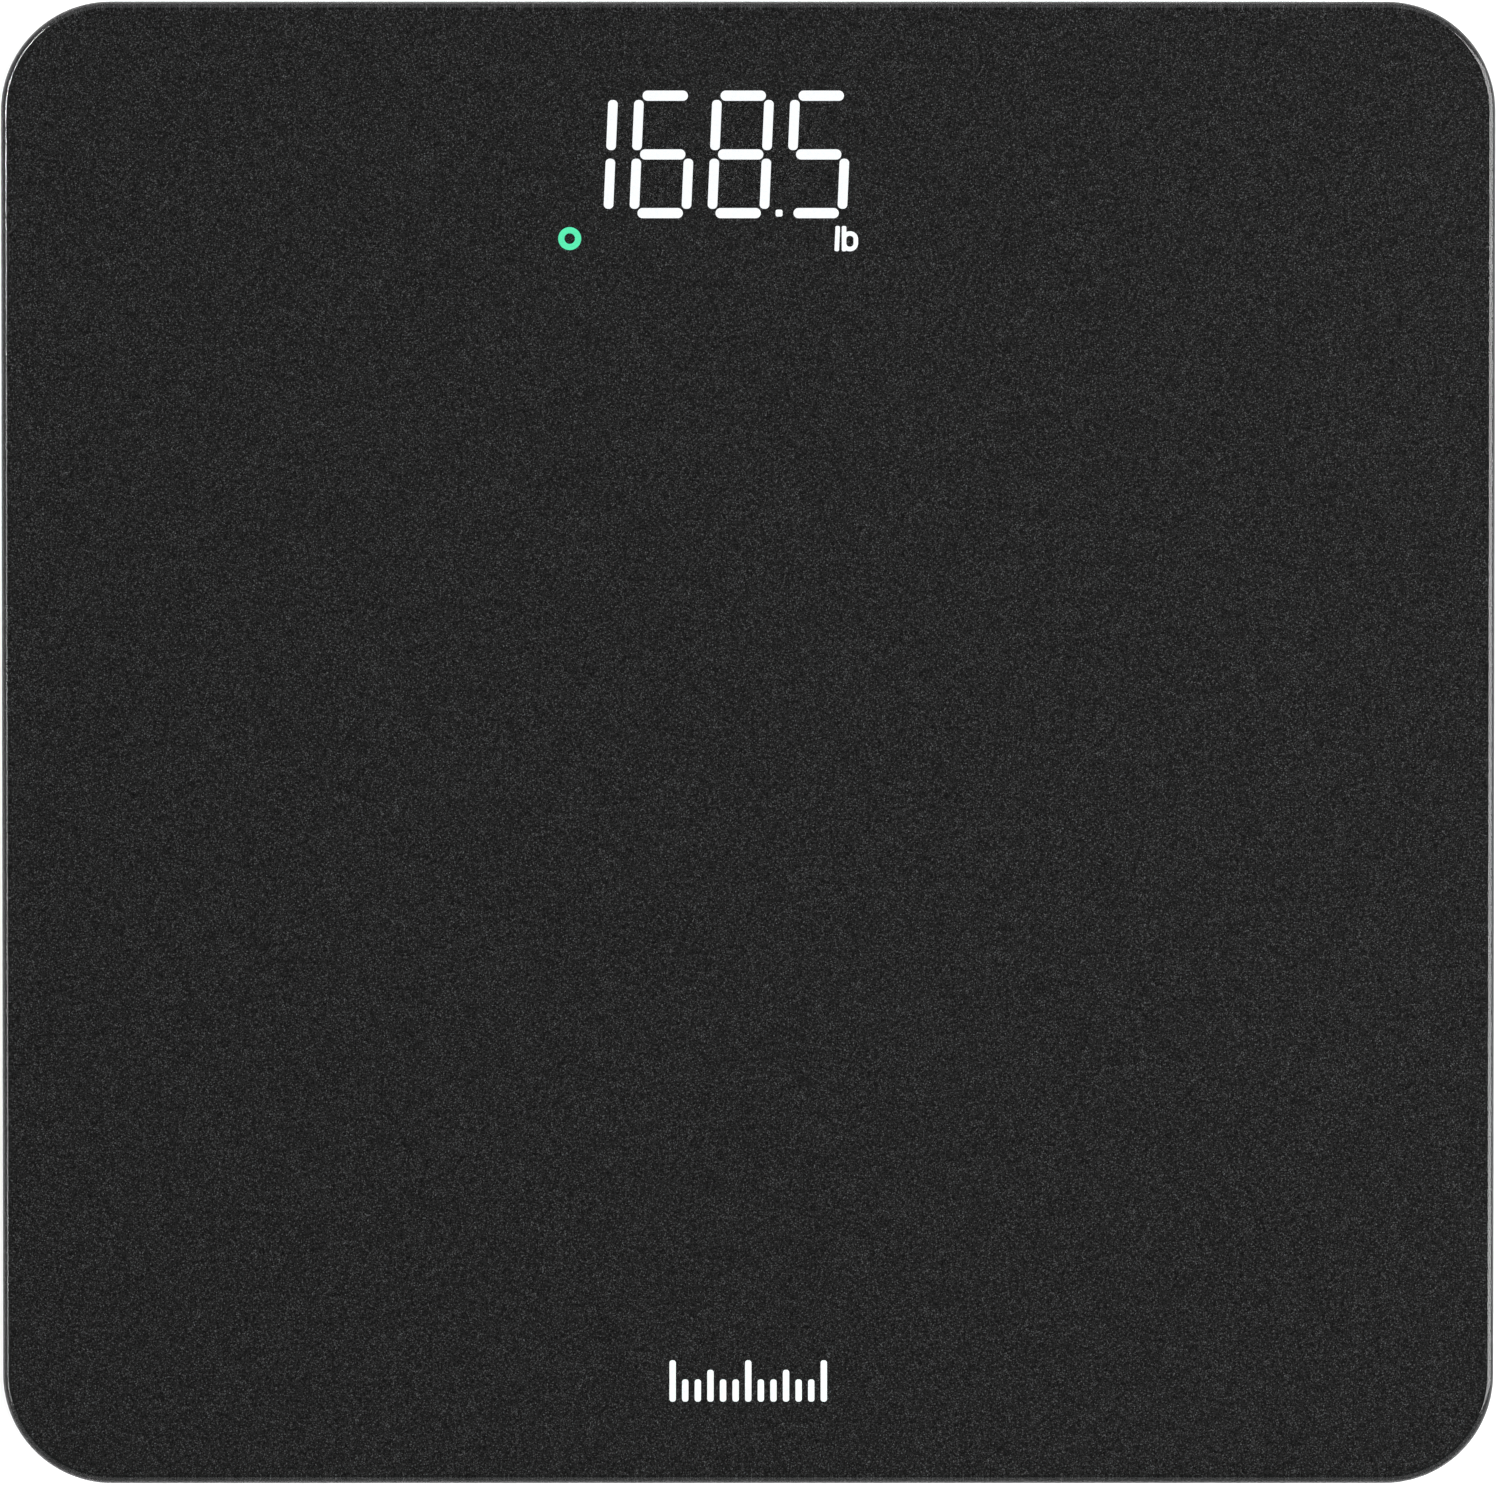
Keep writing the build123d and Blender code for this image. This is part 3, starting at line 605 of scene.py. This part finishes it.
metalLooks = {
    "stampedSteel": {
        "color": (0.60, 0.60, 0.58, 1), "deepColor": (0.50, 0.50, 0.48, 1),
        "markColor": (0.34, 0.32, 0.29, 1),
        "lineWidth": 0.16 * mm, "stretch": 30.0, "roughness": 0.28, "marks": 0.5,
    },
    "screwSteel": {
        "color": (0.56, 0.56, 0.57, 1), "deepColor": (0.46, 0.46, 0.47, 1),
        "markColor": (0.36, 0.34, 0.30, 1),
        "lineWidth": 0.08 * mm, "stretch": 4.0, "roughness": 0.25, "marks": 0.4,
    },
    "nickelPlate": {
        "color": (0.70, 0.69, 0.65, 1), "deepColor": (0.62, 0.61, 0.57, 1),
        "markColor": (0.48, 0.45, 0.40, 1),
        "lineWidth": 0.10 * mm, "stretch": 20.0, "roughness": 0.20, "marks": 0.3,
    },
    "drawnCan": {
        "color": (0.66, 0.66, 0.64, 1), "deepColor": (0.58, 0.58, 0.56, 1),
        "markColor": (0.45, 0.44, 0.41, 1),
        "lineWidth": 0.12 * mm, "stretch": 12.0, "roughness": 0.24, "marks": 0.3,
    },
}
metals = {name: makeSteel(name, look) for name, look in metalLooks.items()}
dress(metals["stampedSteel"], *("load_cell_" + corner for corner in corners))
dress(metals["screwSteel"], "board_screws")
dress(metals["nickelPlate"], "contact_plates", "battery_springs")
dress(metals["drawnCan"], "crystal_can", "filter_capacitor")
print("metals dressed")


boardLook = {
    "resist": (0.012, 0.110, 0.040, 1),
    "trace": (0.022, 0.165, 0.065, 1),
    "tracePitch": 1.3 * mm,
    "traceEdge": (0.34, 0.46),
}


def makeBoard(look):
    # solder resist over copper: raised tracks show as paler lines that run along both axes
    material, tree, shader, place = startMaterial("solderResist")
    patchwork = {"Vector": place, "Scale": 1.0 / (9 * look["tracePitch"])}
    sideways = addNode(tree, "ShaderNodeTexVoronoi", patchwork, distance="CHEBYCHEV")
    split = addNode(tree, "ShaderNodeSeparateXYZ", {"Vector": place})
    patch = addNode(tree, "ShaderNodeSeparateColor", {"Color": sideways.outputs["Color"]})
    choose = compute(tree, "GREATER_THAN", patch.outputs["Red"], 0.5)
    either = {0: choose, 2: split.outputs["X"], 3: split.outputs["Y"]}
    along = addNode(tree, "ShaderNodeMix", either).outputs[0]
    wave = compute(tree, "PINGPONG", compute(tree, "DIVIDE", along, look["tracePitch"]), 0.5)
    track = remap(tree, wave, look["traceEdge"][0] * 0.5, look["traceEdge"][1] * 0.5, 1.0, 0.0, True)
    tree.links.new(mixColors(tree, track, look["resist"], look["trace"]), shader.inputs["Base Color"])
    marks = placeGroup(tree, handling, {"Vector": place, "Size": 0.02, "Amount": 0.4})
    tree.links.new(remap(tree, marks.outputs["Marked"], 0.0, 0.5, 0.18, 0.4), shader.inputs["Roughness"])
    addBump(tree, shader, track, 0.4, 0.00003)
    return material


chipLook = {
    "package": (0.035, 0.035, 0.036, 1),
    "darkPackage": (0.022, 0.022, 0.023, 1),
    "legs": (0.60, 0.60, 0.60, 1),
    "middleY": 84.0 * mm,
    "halfBody": 1.96 * mm,
}


def makeChip(look):
    # black package between two rows of tinned legs
    material, tree, shader, place = startMaterial("converterPackage")
    split = addNode(tree, "ShaderNodeSeparateXYZ", {"Vector": place})
    fromMiddle = compute(tree, "ABSOLUTE", compute(tree, "SUBTRACT", split.outputs["Y"], look["middleY"]))
    legs = compute(tree, "GREATER_THAN", fromMiddle, look["halfBody"])
    grain = placeGroup(tree, mouldGrain, {"Vector": place, "Size": 0.15 * mm, "Depth": 1.0})
    # the package is painted darker in the grain's dips, as shade
    body = mixColors(tree, grain.outputs["Shade"], look["darkPackage"], look["package"])
    tree.links.new(mixColors(tree, legs, body, look["legs"]), shader.inputs["Base Color"])
    tree.links.new(legs, shader.inputs["Metallic"])
    tree.links.new(remap(tree, legs, 0.0, 1.0, 0.55, 0.25), shader.inputs["Roughness"])
    addBump(tree, shader, grain.outputs["Height"], 0.2, 0.00003)
    return material


cellLook = {
    "jacket": (0.012, 0.030, 0.085, 1),
    "band": (0.48, 0.30, 0.10, 1),
    "steel": (0.62, 0.62, 0.60, 1),
    "bandStart": 9.5 * mm,  # from the cell's middle, on the side of its raised end
    "rimStart": 21.0 * mm,
    "scuff": (0.20, 0.20, 0.20, 1),
}


def makeBatteryJacket(name, look, direction):
    # printed jacket with a plain copper-coloured band towards the raised end, bare steel at both ends
    material, tree, shader, place = startMaterial(name)
    split = addNode(tree, "ShaderNodeSeparateXYZ", {"Vector": place})
    along = compute(tree, "MULTIPLY", split.outputs["X"], direction)
    banded = compute(tree, "GREATER_THAN", along, look["bandStart"])
    bare = compute(tree, "GREATER_THAN", compute(tree, "ABSOLUTE", split.outputs["X"]), look["rimStart"])
    film = placeGroup(tree, handling, {"Vector": place, "Size": 0.008, "Amount": 0.5})
    printed = mixColors(tree, banded, look["jacket"], look["band"])
    worn = mixColors(tree, film.outputs["Marked"], printed, look["scuff"])
    tree.links.new(mixColors(tree, bare, worn, look["steel"]), shader.inputs["Base Color"])
    metallicBand = compute(tree, "MULTIPLY", banded, 0.7)
    tree.links.new(compute(tree, "MAXIMUM", bare, metallicBand), shader.inputs["Metallic"])
    tree.links.new(remap(tree, film.outputs["Marked"], 0.0, 0.5, 0.2, 0.4), shader.inputs["Roughness"])
    return material


labelLook = {
    "paper": (0.70, 0.70, 0.68, 1),
    "fibre": (0.60, 0.60, 0.58, 1),
    "line": (0.30, 0.30, 0.30, 1),
    "frameInset": 2.4 * mm,
    "lineHalf": 0.15 * mm,
}


def makeLabel(look):
    # a blank satin label with a thin printed frame
    material, tree, shader, place = startMaterial("blankLabel")
    low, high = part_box("rating_label")
    middle = (low + high) / 2
    half = (high - low) / 2
    centred = addNode(tree, "ShaderNodeMapping", {"Vector": place, "Location": (-middle.x, -middle.y, 0.0)})
    split = addNode(tree, "ShaderNodeSeparateXYZ", {"Vector": centred.outputs[0]})
    awayX, awayY = (compute(tree, "ABSOLUTE", split.outputs[axis]) for axis in ("X", "Y"))
    fromEdgeX = compute(tree, "SUBTRACT", half.x - look["frameInset"], awayX)
    fromEdgeY = compute(tree, "SUBTRACT", half.y - look["frameInset"], awayY)
    nearest = compute(tree, "ABSOLUTE", compute(tree, "MINIMUM", fromEdgeX, fromEdgeY))
    line = compute(tree, "LESS_THAN", nearest, look["lineHalf"])
    fibres = placeGroup(tree, cellFlecks, {"Vector": place, "Size": 0.25 * mm})
    paper = mixColors(tree, fibres.outputs["Value"], look["fibre"], look["paper"])
    tree.links.new(mixColors(tree, line, paper, look["line"]), shader.inputs["Base Color"])
    tree.links.new(remap(tree, fibres.outputs["Value"], 0.0, 1.0, 0.38, 0.5), shader.inputs["Roughness"])
    return material


diffuserLook = {
    "color": (0.78, 0.80, 0.80, 1), "deepColor": (0.68, 0.70, 0.70, 1), "bloomColor": (0.60, 0.62, 0.62, 1),
    "cellSize": 0.3 * mm, "cellStrength": 0.2, "bloom": 0.2,
}
phosphorLook = {
    "color": (0.82, 0.70, 0.20, 1), "deepColor": (0.72, 0.58, 0.12, 1), "bloomColor": (0.85, 0.80, 0.50, 1),
    "cellSize": 0.2 * mm, "cellStrength": 0.1, "bloom": 0.3,
}

dress(makeBoard(boardLook), "main_board")
dress(makeChip(chipLook), "converter_chip")
for name in ("battery_1", "battery_2", "battery_3"):
    low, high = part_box(name)
    towardsNub = 1.0 if name != "battery_2" else -1.0
    dress(makeBatteryJacket(name + "_jacket", cellLook, towardsNub), name)
dress(makeLabel(labelLook), "rating_label")
dress(makeRubber("frostedDiffuser", diffuserLook), "display_diffuser")
dress(makeRubber("phosphorGel", phosphorLook), "led_chips")
print("board, cells and label dressed")


floorLook = {
    "size": 14.0,
    "level": -0.2 * mm,
    "color": (0.92, 0.92, 0.92, 1),
    "mottle": (0.90, 0.90, 0.905, 1),
    "glow": 0.38,  # a light table, so that no shadow greys the white
}


def buildFloor(look):
    work = bmesh.new()
    bmesh.ops.create_grid(work, x_segments=2, y_segments=2, size=look["size"] / 2)
    bmesh.ops.translate(work, vec=(0.0, 0.0, look["level"]), verts=work.verts)
    mesh = bpy.data.meshes.new("paleFloor")
    work.to_mesh(mesh)
    work.free()
    floor = bpy.data.objects.new("paleFloor", mesh)
    scene.collection.objects.link(floor)
    material, tree, shader, place = startMaterial("paleFloorPaper")
    clouds = placeGroup(tree, handling, {"Vector": place, "Size": 0.3, "Amount": 0.5})
    paper = mixColors(tree, clouds.outputs["Marked"], look["color"], look["mottle"])
    tree.links.new(paper, shader.inputs["Base Color"])
    setShader(shader, {"Roughness": 0.9, "Specular IOR Level": 0.2})
    setShader(shader, {"Emission Color": (1.0, 1.0, 1.0, 1.0), "Emission Strength": look["glow"]})
    away = addNode(tree, "ShaderNodeNewGeometry")  # seen from below, the floor isn't there
    clear = addNode(tree, "ShaderNodeBsdfTransparent")
    ends = {0: away.outputs["Backfacing"], 1: shader.outputs[0], 2: clear.outputs[0]}
    mixed = addNode(tree, "ShaderNodeMixShader", ends)
    tree.links.new(mixed.outputs[0], tree.nodes["Material Output"].inputs["Surface"])
    mesh.materials.append(material)


surroundings = {
    "brightness": 0.62,
    "horizon": 1.0,  # pale enough to meet the floor without a line
    "darkWithin": 12.0,
    "fullBeyond": 34.0,
    "tint": (0.985, 0.995, 1.0, 1.0),
}


def buildSurroundings(look):
    # a pale room with a dark patch straight above, so the flat glass stays black
    world = bpy.data.worlds.new("paleRoom")
    scene.world = world
    world.use_nodes = True
    tree = world.node_tree
    direction = addNode(tree, "ShaderNodeTexCoord").outputs["Generated"]
    height = addNode(tree, "ShaderNodeSeparateXYZ", {"Vector": direction}).outputs["Z"]
    pale, dark = cos(radians(look["fullBeyond"])), cos(radians(look["darkWithin"]))
    fromHorizon = compute(tree, "ABSOLUTE", height)
    sides = remap(tree, fromHorizon, 0.02, 0.22, look["horizon"], look["brightness"], True)
    level = compute(tree, "MULTIPLY", sides, remap(tree, height, pale, dark, 1.0, 0.0, True))
    shade = tree.nodes["Background"]
    shade.inputs["Color"].default_value = look["tint"]
    tree.links.new(level, shade.inputs["Strength"])


softboxes = {
    "rightBox": {
        "azimuth": 7.0, "elevation": 39.0, "distance": 1.3, "tall": 1.20, "wide": 1.10, "radiance": 6.2,
        "onlyGlossy": True,
    },
    "rightFill": {
        "azimuth": 0.0, "elevation": 35.0, "distance": 1.3, "tall": 0.95, "wide": 0.85, "radiance": 6.5,
        "onlyDiffuse": True,
    },
    "leftBox": {
        "azimuth": 180.0, "elevation": 47.0, "distance": 1.3, "tall": 0.36, "wide": 0.85, "radiance": 4.5,
        "onlyGlossy": True,
    },
    "cornerBox": {
        "azimuth": 151.0, "elevation": 47.0, "distance": 1.3, "tall": 0.24, "wide": 0.66, "radiance": 20.0,
        "onlyGlossy": True,
    },
    "overheadFill": {
        "azimuth": 90.0, "elevation": 88.0, "distance": 1.6, "tall": 1.30, "wide": 1.30, "radiance": 2.7,
        "onlyDiffuse": True,
    },
}


def buildSoftbox(name, look):
    lamp = bpy.data.lights.new(name, "AREA")
    lamp.shape = "RECTANGLE"
    lamp.size = look["wide"]
    lamp.size_y = look["tall"]
    lamp.energy = look["radiance"] * pi * look["wide"] * look["tall"]
    holder = bpy.data.objects.new(name, lamp)
    scene.collection.objects.link(holder)
    around, up = radians(look["azimuth"]), radians(look["elevation"])
    towards = Vector((cos(around) * cos(up), sin(around) * cos(up), sin(up)))
    holder.location = towards * look["distance"]
    holder.rotation_euler = towards.to_track_quat("Z", "Y").to_euler()
    holder.visible_camera = False
    holder.visible_transmission = False  # keeps stray sparkle out of the glass edge
    if look.get("onlyDiffuse"):  # lifts the floor without a reflection in the glass
        holder.visible_glossy = False
    if look.get("onlyGlossy"):  # draws a highlight and lights nothing else
        holder.visible_diffuse = False


viewpoint = {
    "distance": 1.72,  # from the platform's top to the lens
    "lean": 1.2,  # degrees towards the read-out edge
    "span": 281.12 * mm,  # what the frame's width takes in at the platform's top
    "aimX": 0.33 * mm,
    "aimY": -0.14 * mm,
}


def buildCamera(look):
    lens = bpy.data.cameras.new("overheadCamera")
    lens.sensor_fit = "HORIZONTAL"
    lens.sensor_width = 36.0
    lens.lens = 36.0 * look["distance"] / look["span"]
    lens.clip_start = 0.01
    lens.clip_end = 60.0
    camera = bpy.data.objects.new("overheadCamera", lens)
    scene.collection.objects.link(camera)
    lean = radians(look["lean"])
    aim = Vector((look["aimX"], look["aimY"], cadBox[1].z))
    camera.location = aim + Vector((0.0, sin(lean), cos(lean))) * look["distance"]
    camera.rotation_euler = (-lean, 0.0, 0.0)
    scene.camera = camera


buildFloor(floorLook)
buildSurroundings(surroundings)
for name, look in softboxes.items():
    buildSoftbox(name, look)
buildCamera(viewpoint)
scene.view_settings.view_transform = "Standard"
scene.view_settings.look = "None"
print("floor, lamps and camera placed")
